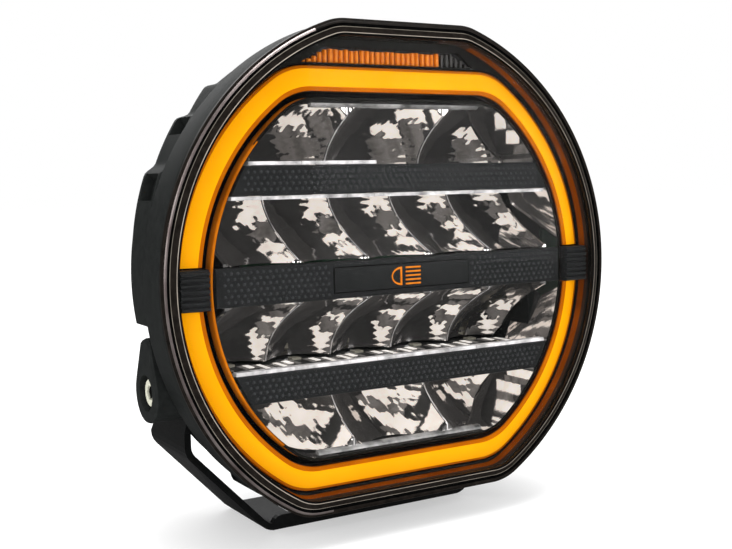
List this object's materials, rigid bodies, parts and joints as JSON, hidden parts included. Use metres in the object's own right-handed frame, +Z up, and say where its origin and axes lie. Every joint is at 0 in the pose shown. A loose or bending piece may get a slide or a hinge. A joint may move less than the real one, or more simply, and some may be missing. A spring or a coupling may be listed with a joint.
{
  "type": "auxiliary driving lamp",
  "caption": "Round flat-topped auxiliary driving lamp with amber position ring, chrome reflector rows, finned black housing and a tilting steel U-bracket.",
  "frame": {"origin": "centre of the bounding box's bottom, on the surface that the bracket's base stands on", "axes": "+Z up, the lamp shines along -Y, +X to the lamp's left-hand side seen from behind it"},
  "size_m": [0.228, 0.098, 0.225],
  "materials": {
    "cast_black": "die-cast, coated satin black",
    "steel_black": "black powder-coated sheet steel",
    "bare_steel": "passivated steel",
    "clear_lens": "clear hard-coated polycarbonate",
    "gloss_black": "glossy black moulding",
    "textured_black": "grey-black moulding with a fine raised pattern",
    "amber_diffuser": "amber light guide",
    "warning_amber": "orange fluted lens",
    "reflector_chrome": "vacuum-metallised, faceted",
    "plain_aluminium": "plain extruded aluminium",
    "light_board": "black solder mask with yellow light chips",
    "circuit_board": "green circuit board",
    "black_rubber": "soft black seal",
    "black_nylon": "black nylon"
  },
  "bodies": {
    "bracket": {"mounting_bracket": "steel_black", "pivot_block_left": "cast_black", "pivot_block_right": "cast_black", "pivot_bolt_left": "bare_steel", "pivot_bolt_right": "bare_steel", "pivot_washer_left": "bare_steel", "pivot_washer_right": "bare_steel"},
    "lamp": {"badge_panel": "gloss_black", "breather_vent": "black_nylon", "cable_gland_body": "black_nylon", "cable_gland_nut": "black_nylon", "cable_gland_seal": "black_rubber", "centre_bar": "textured_black", "driver_board": "circuit_board", "driver_capacitor_1": "plain_aluminium", "driver_capacitor_2": "plain_aluminium", "driver_capacitor_3": "plain_aluminium", "driver_coil_1": "black_nylon", "driver_coil_2": "black_nylon", "driver_coil_3": "black_nylon", "driver_screw_1": "bare_steel", "driver_screw_2": "bare_steel", "driver_screw_3": "bare_steel", "driver_screw_4": "bare_steel", "heat_plate_lower": "plain_aluminium", "heat_plate_upper": "plain_aluminium", "housing": "cast_black", "inner_bezel": "gloss_black", "led_board_row_1": "light_board", "led_board_row_2": "light_board", "led_board_row_3": "light_board", "led_board_row_4": "light_board", "lens_seal": "black_rubber", "light_ring_lower": "amber_diffuser", "light_ring_upper": "amber_diffuser", "lower_bar": "textured_black", "outer_bezel": "gloss_black", "outer_lens": "clear_lens", "pivot_spacer_left": "black_nylon", "pivot_spacer_right": "black_nylon", "reflector_row_1": "reflector_chrome", "reflector_row_2": "reflector_chrome", "reflector_row_3": "reflector_chrome", "reflector_row_4": "reflector_chrome", "ribbed_block_left": "textured_black", "ribbed_block_right": "textured_black", "ring_board_lower": "light_board", "ring_board_upper": "light_board", "threaded_insert_left": "bare_steel", "threaded_insert_right": "bare_steel", "upper_bar": "textured_black", "warning_board": "circuit_board", "warning_lens": "warning_amber"}
  },
  "joints": [
    {"name": "tilt", "type": "hinge", "parent": "bracket", "child": "lamp", "pos_m": [0, -0.007, 0.069], "axis": [1, 0, 0], "range_deg": [-20, 20]}
  ]
}
